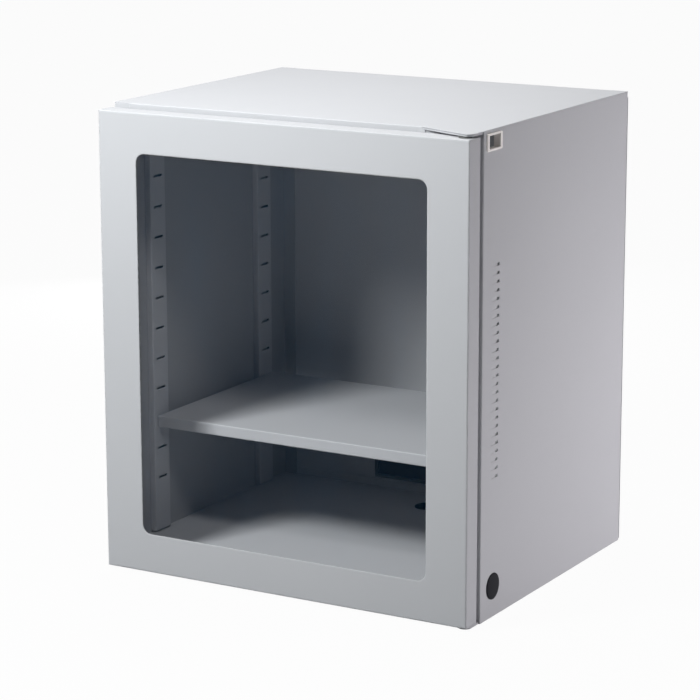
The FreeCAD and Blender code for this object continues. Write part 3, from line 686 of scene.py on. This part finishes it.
class CABINET_OT_finish_fittings(Operator):
    """Finish the clips, hinge parts, catches, magnets and cable frames"""
    bl_idname = "cabinet.finish_fittings"
    bl_label = "Finish Fittings"

    def execute(self, context):
        fittings = context.scene.cabinet_fittings
        dress("zinc_steel", zinc(context.scene))
        dress("magnet_iron", ferrite("ferrite", linear(fittings.magnet)))
        # The bushes' dark grey is partly painted shade.
        for slot, tint, roughness in (
            ("port_plastic", fittings.port, 0.48),
            ("catch_plastic", fittings.catch, 0.40),
            ("bush_plastic", fittings.bush, 0.35),
            ("frame_plastic", fittings.frame, 0.45),
        ):
            dress(slot, moulded_plastic(slot, linear(tint), roughness))
        return {"FINISHED"}


# Pieces of their own

class CABINET_OT_add_plugs(Operator):
    """Domed blanking plugs with snap fingers in the round cable holes"""
    bl_idname = "cabinet.add_plugs"
    bl_label = "Add Blanking Plugs"

    rim_radius = 20.8 * MM
    rim_height = 1.3 * MM
    rim_break = 0.2 * MM
    shoulder = 0.5 * MM
    rise = 2.4 * MM
    fullness = 1.1
    skirt_radius = 19.0 * MM
    skirt_wall = 1.6 * MM
    skirt_depth = 6.0 * MM
    clearance = 0.1 * MM
    barb = 0.7 * MM
    fingers = 6
    finger_turn = math.radians(44)
    upstand = 11.5 * MM
    roughness = 0.42
    gloss = 0.04

    def execute(self, context):
        low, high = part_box("blanking_plugs")
        floor_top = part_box("bottom_panel")[1].z - self.upstand
        in_side = (high.x - self.rise, low.y + self.rim_radius, high.z - self.rim_radius)
        in_floor = (0.0, high.y - self.rim_radius, floor_top)
        bm = bmesh.new()
        self.plug(bm, Matrix.Translation(in_side) @ TOWARDS_RIGHT)
        self.plug(bm, Matrix.Translation(in_floor) @ UPWARDS)
        tint = linear(context.scene.cabinet_fittings.plug)
        material = moulded_plastic("plug_plastic", tint, self.roughness, self.gloss)
        plugs = add_piece("domed_plugs", bm, [material], "cabinet")
        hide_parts("blanking_plugs")
        return {"FINISHED"}

    def plug(self, bm, place):
        """One plug: a low dome on a rim, and snap fingers behind the sheet."""
        rim = self.rim_radius
        dome_radius = rim - self.shoulder
        rounding = 0.3 * self.shoulder
        profile = [
            (self.skirt_radius - self.skirt_wall, 0.0),
            (rim - self.rim_break, 0.0),
            (rim, self.rim_break),
            (rim, self.rim_height - self.shoulder),
            (rim - rounding, self.rim_height - rounding),
            (dome_radius, self.rim_height),
        ]
        for turn in quarter_arc(8)[:-1]:
            height = self.rim_height + (self.rise - self.rim_height) * math.sin(turn) ** self.fullness
            profile.append((dome_radius * math.cos(turn), height))
        profile.append((0.0, self.rise))
        turned(bm, profile, place, steps=64)
        outer = self.skirt_radius - self.clearance
        inner = outer - self.skirt_wall
        depth = self.skirt_depth
        section = [
            (inner, 0.0), (outer, 0.0), (outer, -0.5 * depth),
            (outer + self.barb, -0.65 * depth), (outer, -depth), (inner, -depth),
        ]
        for finger in range(self.fingers):
            start = math.tau * finger / self.fingers
            bent_bar(bm, section, start, start + self.finger_turn, 8, place)


class CABINET_OT_add_corner_weld(Operator):
    """Dressed weld that closes the top panel's bend relief beside the hinge ear"""
    bl_idname = "cabinet.add_corner_weld"
    bl_label = "Add Corner Weld"

    under_ear = 228.0 * MM
    flush = 11.0 * MM
    run_out = 3.0 * MM
    flange = 28.0 * MM
    bend = 2.0 * MM
    proud = 0.02 * MM

    def execute(self, context):
        bm = bmesh.new()
        run = self.under_ear - self.flush
        rings = [
            self.section(self.under_ear, -self.proud),
            self.section(run, -self.proud),
            self.section(run - self.run_out, SHEET / 2),
        ]
        skin(bm, rings, UPWARDS)
        bmesh.ops.holes_fill(bm, edges=bm.edges, sides=0)
        add_piece("corner_weld", bm, [sheet_coat(context.scene)], "cabinet")
        return {"FINISHED"}

    def section(self, across, inset):
        """Outline of the bend and its flange, with its outer side moved into the sheet."""
        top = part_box("top_panel")[1].z
        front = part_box("bottom_panel")[0].y
        outline = [(0.0, top - self.flange), (0.0, top - self.bend)]
        for turn in quarter_arc(8):
            outline.append((self.bend * (1 - math.cos(turn)), top - self.bend * (1 - math.sin(turn))))
        centre = Vector((0.0, front + self.bend, top - self.bend))
        outer = [Vector((across, front + depth, height)) for depth, height in outline]
        shrink = (self.bend - inset) / self.bend
        inner_shrink = (self.bend - SHEET) / self.bend
        ring = [self.towards(centre, point, shrink) for point in outer]
        ring += [self.towards(centre, point, inner_shrink) for point in reversed(outer)]
        return ring

    def towards(self, centre, point, shrink):
        """A point drawn in towards the bend's centre line; below the bend only its depth changes."""
        depth = centre.y + (point.y - centre.y) * shrink
        height = centre.z + (point.z - centre.z) * shrink if point.z > centre.z else point.z
        return Vector((point.x, depth, height))


class CABINET_OT_add_buffers(Operator):
    """Rubber buffers with rounded noses on the left-hand front flange"""
    bl_idname = "cabinet.add_buffers"
    bl_label = "Add Door Buffers"

    radius = 5.0 * MM
    taper = 0.94
    nose = 2.0 * MM
    stem_radius = 2.5 * MM
    stem_length = 4.2 * MM

    def execute(self, context):
        low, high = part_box("door_buffers")
        flange = high.y - self.stem_length
        profile = self.profile(flange - low.y)
        across = (low.x + high.x) / 2
        bm = bmesh.new()
        for height in (low.z + self.radius, high.z - self.radius):
            turned(bm, profile, Matrix.Translation((across, flange, height)) @ TOWARDS_FRONT, steps=32)
        buffers = add_piece("rubber_buffers", bm, [rubber(context.scene)], "cabinet")
        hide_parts("door_buffers")
        return {"FINISHED"}

    def profile(self, reach):
        """Barbed stem behind the flange, and a body that tapers to a rounded nose."""
        stem = self.stem_radius
        depth = self.stem_length
        front_radius = self.radius * self.taper
        shoulder = reach - self.nose
        profile = [
            (0.0, -depth), (stem * 0.8, -depth), (stem * 1.1, -depth * 0.7), (stem, -depth * 0.5),
            (stem, 0.0), (self.radius, 0.0), (front_radius, shoulder),
        ]
        for turn in quarter_arc(6):
            radius = front_radius - self.nose * (1 - math.cos(turn))
            profile.append((radius, shoulder + self.nose * math.sin(turn)))
        return profile + [(0.0, reach)]


class CABINET_OT_add_rear_screws(Operator):
    """Sunk cross-head screws that hold the rear panel to the flanges"""
    bl_idname = "cabinet.add_rear_screws"
    bl_label = "Add Rear Screws"

    from_side = 12.0 * MM
    from_foot = 60.0 * MM
    from_top = 9.0 * MM
    upstand_height = 33.75 * MM
    spread = 160.0 * MM
    rows = 4

    def execute(self, context):
        sizes = context.scene.cabinet_fasteners
        low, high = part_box("rear_panel")
        places = []
        span = high.z - low.z - 2 * self.from_foot
        for row in range(self.rows):
            height = low.z + self.from_foot + span * row / (self.rows - 1)
            places += [(low.x + self.from_side, height), (high.x - self.from_side, height)]
        places += [(across, high.z - self.from_top) for across in (-self.spread, 0.0, self.spread)]
        places += [(across, self.upstand_height) for across in (-self.spread, self.spread)]
        bm = bmesh.new()
        for across, height in places:
            sunk_screw(bm, Matrix.Translation((across, high.y, height)) @ TOWARDS_REAR, sizes)
        # The cross recesses get painted shade.
        add_piece("rear_screws", bm, [zinc(context.scene), drive_recess()], "cabinet")
        return {"FINISHED"}


class CABINET_OT_add_hinge_screws(Operator):
    """Pan-head screws that hold the two hinge plates behind the front flanges"""
    bl_idname = "cabinet.add_hinge_screws"
    bl_label = "Add Hinge Screws"

    from_end = (15.0 * MM, 30.0 * MM)
    share_up = {"lower_hinge_plate": 0.58, "upper_hinge_plate": 0.42}

    def execute(self, context):
        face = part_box("bottom_panel")[0].y
        bm = bmesh.new()
        for node, share_up in self.share_up.items():
            low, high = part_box(node)
            height = low.z + (high.z - low.z) * share_up
            for along in self.from_end:
                place = Matrix.Translation((low.x + along, face, height)) @ TOWARDS_FRONT
                pan_screw(bm, place, context.scene.cabinet_fasteners)
        add_piece("hinge_screws", bm, [zinc(context.scene)] * 2, "cabinet")
        return {"FINISHED"}


class CABINET_OT_add_catch_screws(Operator):
    """Sunk screws at both ends of each magnetic catch"""
    bl_idname = "cabinet.add_catch_screws"
    bl_label = "Add Catch Screws"

    from_middle = 23.5 * MM
    scale = 0.75

    def execute(self, context):
        sizes = context.scene.cabinet_fasteners
        bm = bmesh.new()
        for node in ("upper_magnet_catch", "lower_magnet_catch"):
            centre = middle(node)
            for way in (-1, 1):
                point = (centre.x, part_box(node)[0].y, centre.z + way * self.from_middle)
                sunk_screw(bm, Matrix.Translation(point) @ TOWARDS_FRONT, sizes, self.scale)
        # The cross recesses get painted shade.
        add_piece("catch_screws", bm, [zinc(context.scene), drive_recess()], "cabinet")
        return {"FINISHED"}


class CABINET_OT_add_glazing_nuts(Operator):
    """Studs and nuts that hold the four glazing strips inside the door"""
    bl_idname = "cabinet.add_glazing_nuts"
    bl_label = "Add Glazing Nuts"

    from_edge = 7.5 * MM
    spread = 200.0 * MM

    def execute(self, context):
        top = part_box("top_glazing_strip")
        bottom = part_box("bottom_glazing_strip")
        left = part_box("left_glazing_strip")
        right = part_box("right_glazing_strip")
        centre = middle("left_glazing_strip")
        places = []
        for step in (-self.spread, 0.0, self.spread):
            places.append((step, top[1].z - self.from_edge))
            places.append((step, bottom[0].z + self.from_edge))
            places.append((left[0].x + self.from_edge, centre.z + step))
            places.append((right[1].x - self.from_edge, centre.z + step))
        face = top[0].y + SHEET
        bm = bmesh.new()
        for across, height in places:
            place = Matrix.Translation((across, face, height)) @ TOWARDS_REAR
            glazing_nut(bm, context.scene.cabinet_fasteners, place)
        add_piece("glazing_nuts", bm, [zinc(context.scene)], "door")
        return {"FINISHED"}


# Studio

class CABINET_OT_set_stage(Operator):
    """Pale floor, softboxes, a pale surround and the camera"""
    bl_idname = "cabinet.set_stage"
    bl_label = "Set Stage"

    floor_half = 20.0
    floor_cells = 24
    floor_glow = 0.965
    floor_drop = 0.2 * MM
    door_middle = (0.0, -0.275, 0.45)
    plain = (1.0, 1.0, 1.0)
    cool = (0.97, 1.0, 1.0)
    rosy = (1.0, 0.97, 1.0)
    softboxes = {
        "key": {"at": (-0.54, -1.385, 1.47), "aim": door_middle, "size": (0.36, 0.50), "tint": cool},
        "far": {"at": (-1.08, -2.52, 2.46), "aim": door_middle, "size": (0.50, 0.50), "tint": cool},
        "high": {"at": (0.46, -1.14, 1.96), "aim": door_middle, "size": (0.36, 0.36), "tint": plain},
        "top": {"at": (-0.24, 0.30, 2.25), "aim": (-0.24, 0.30, 0.0), "size": (1.1, 1.1), "tint": plain},
        "side": {"at": (1.70, 0.70, 0.10), "aim": (0.325, 0.20, 0.10), "size": (0.40, 0.40), "tint": rosy},
        "rear": {"at": (-1.4, 1.9, 0.42), "aim": (-0.1, 0.275, 0.38), "size": (0.9, 0.5), "tint": plain},
    }
    sensor_width = 36.0
    camera_place = Vector((2.1074, -3.7034, 1.3246))
    camera_turn = math.radians(30.0281)
    camera_tilt = math.radians(12.9845)
    camera_roll = math.radians(-0.1121)

    def execute(self, context):
        scene = context.scene
        studio = scene.cabinet_studio
        self.floor(scene, studio)
        self.surround(scene, studio)
        for name, box in self.softboxes.items():
            self.softbox(scene, name, getattr(studio, f"{name}_power"), box)
        self.camera(scene, studio)
        scene.view_settings.view_transform = "Standard"
        return {"FINISHED"}

    def seen(self, finish):
        """1 where the background is seen, straight or in gloss or glass, and 0 where it gives light."""
        camera = finish.node("ShaderNodeLightPath", output="Is Camera Ray")
        gloss = finish.node("ShaderNodeLightPath", output="Is Glossy Ray")
        through = finish.node("ShaderNodeLightPath", output="Is Transmission Ray")
        return finish.within(camera + gloss + through, 0.0, 1.0)

    def floor(self, scene, studio):
        """Matt paper that shows white and keeps the cabinet's shadow."""
        bm = bmesh.new()
        cells = self.floor_cells
        bmesh.ops.create_grid(bm, x_segments=cells, y_segments=cells, size=self.floor_half)
        bmesh.ops.translate(bm, verts=bm.verts, vec=(0, 0, -self.floor_drop))
        mesh = bpy.data.meshes.new("studio_floor")
        bm.to_mesh(mesh)
        bm.free()
        material, paper = new_finish("studio_paper")
        matt = paper.node("ShaderNodeBsdfDiffuse", None, {"Color": linear(studio.floor)})
        white = paper.node("ShaderNodeEmission", None, {"Color": WHITE, "Strength": 1.0})
        glow = self.seen(paper) * self.floor_glow
        mixed = paper.node("ShaderNodeMixShader", None, {0: glow, 1: matt, 2: white})
        paper.node("ShaderNodeOutputMaterial", None, {"Surface": mixed})
        mesh.materials.append(material)
        floor = bpy.data.objects.new("studio_floor", mesh)
        scene.collection.objects.link(floor)

    def surround(self, scene, studio):
        """Surround that shows white and gives only the ambient light."""
        scene.world = bpy.data.worlds.new("studio_surround")
        air = Finish(scene.world)
        shown = air.blend(self.seen(air), shaded(WHITE, studio.ambient), WHITE)
        light = air.node("ShaderNodeBackground", None, {"Color": shown, "Strength": 1.0})
        air.node("ShaderNodeOutputWorld", None, {"Surface": light})

    def softbox(self, scene, name, watts, box):
        """One area lamp, aimed at a point."""
        lamp = bpy.data.lights.new(f"{name}_softbox", "AREA")
        lamp.shape = "RECTANGLE"
        lamp.size, lamp.size_y = box["size"]
        lamp.energy = watts
        lamp.color = box["tint"]
        place = Vector(box["at"])
        turn = (Vector(box["aim"]) - place).to_track_quat("-Z", "Y")
        lit = bpy.data.objects.new(lamp.name, lamp)
        lit.matrix_world = Matrix.Translation(place) @ turn.to_matrix().to_4x4()
        scene.collection.objects.link(lit)

    def camera(self, scene, studio):
        """Camera at the photograph's viewing angle."""
        data = bpy.data.cameras.new("photo_camera")
        data.lens = studio.lens
        data.sensor_width = self.sensor_width
        camera = bpy.data.objects.new("photo_camera", data)
        turn = Matrix.Rotation(self.camera_turn, 4, "Z")
        tilt = Matrix.Rotation(QUARTER_TURN - self.camera_tilt, 4, "X")
        roll = Matrix.Rotation(self.camera_roll, 4, "Z")
        camera.matrix_world = Matrix.Translation(self.camera_place) @ turn @ tilt @ roll
        scene.collection.objects.link(camera)
        scene.camera = camera


OPERATORS = (
    CABINET_OT_coat_sheet_metal,
    CABINET_OT_glaze_door,
    CABINET_OT_finish_fittings,
    CABINET_OT_add_plugs,
    CABINET_OT_add_corner_weld,
    CABINET_OT_add_buffers,
    CABINET_OT_add_rear_screws,
    CABINET_OT_add_hinge_screws,
    CABINET_OT_add_catch_screws,
    CABINET_OT_add_glazing_nuts,
    CABINET_OT_set_stage,
)
GROUPS = {
    "cabinet_paint": CABINET_PG_paint,
    "cabinet_glazing": CABINET_PG_glazing,
    "cabinet_fittings": CABINET_PG_fittings,
    "cabinet_fasteners": CABINET_PG_fasteners,
    "cabinet_studio": CABINET_PG_studio,
}


class CABINET_PT_sidebar(Panel):
    """Sizes, colours and steps of the cabinet"""
    bl_idname = "CABINET_PT_sidebar"
    bl_label = "Glazed Cabinet"
    bl_space_type = "VIEW_3D"
    bl_region_type = "UI"
    bl_category = "Cabinet"

    def draw(self, context):
        for name, group in GROUPS.items():
            column = self.layout.box().column()
            for setting in group.__annotations__:
                column.prop(getattr(context.scene, name), setting)
        for operator in OPERATORS:
            self.layout.operator(operator.bl_idname)


def register():
    """Makes the groups, operators and panel known to Blender."""
    for group in GROUPS.values():
        bpy.utils.register_class(group)
    for name, group in GROUPS.items():
        setattr(bpy.types.Scene, name, PointerProperty(type=group))
    for operator in OPERATORS:
        bpy.utils.register_class(operator)
    bpy.utils.register_class(CABINET_PT_sidebar)


def unregister():
    """Takes them away again."""
    bpy.utils.unregister_class(CABINET_PT_sidebar)
    for operator in reversed(OPERATORS):
        bpy.utils.unregister_class(operator)
    for name, group in GROUPS.items():
        delattr(bpy.types.Scene, name)
        bpy.utils.unregister_class(group)


def main():
    """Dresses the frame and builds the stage."""
    register()
    bpy.ops.cabinet.coat_sheet_metal()
    bpy.ops.cabinet.glaze_door()
    bpy.ops.cabinet.finish_fittings()
    bpy.ops.cabinet.add_plugs()
    bpy.ops.cabinet.add_corner_weld()
    bpy.ops.cabinet.add_buffers()
    bpy.ops.cabinet.add_rear_screws()
    bpy.ops.cabinet.add_hinge_screws()
    bpy.ops.cabinet.add_catch_screws()
    bpy.ops.cabinet.add_glazing_nuts()
    bpy.ops.cabinet.set_stage()


if __name__ == "__main__":
    main()
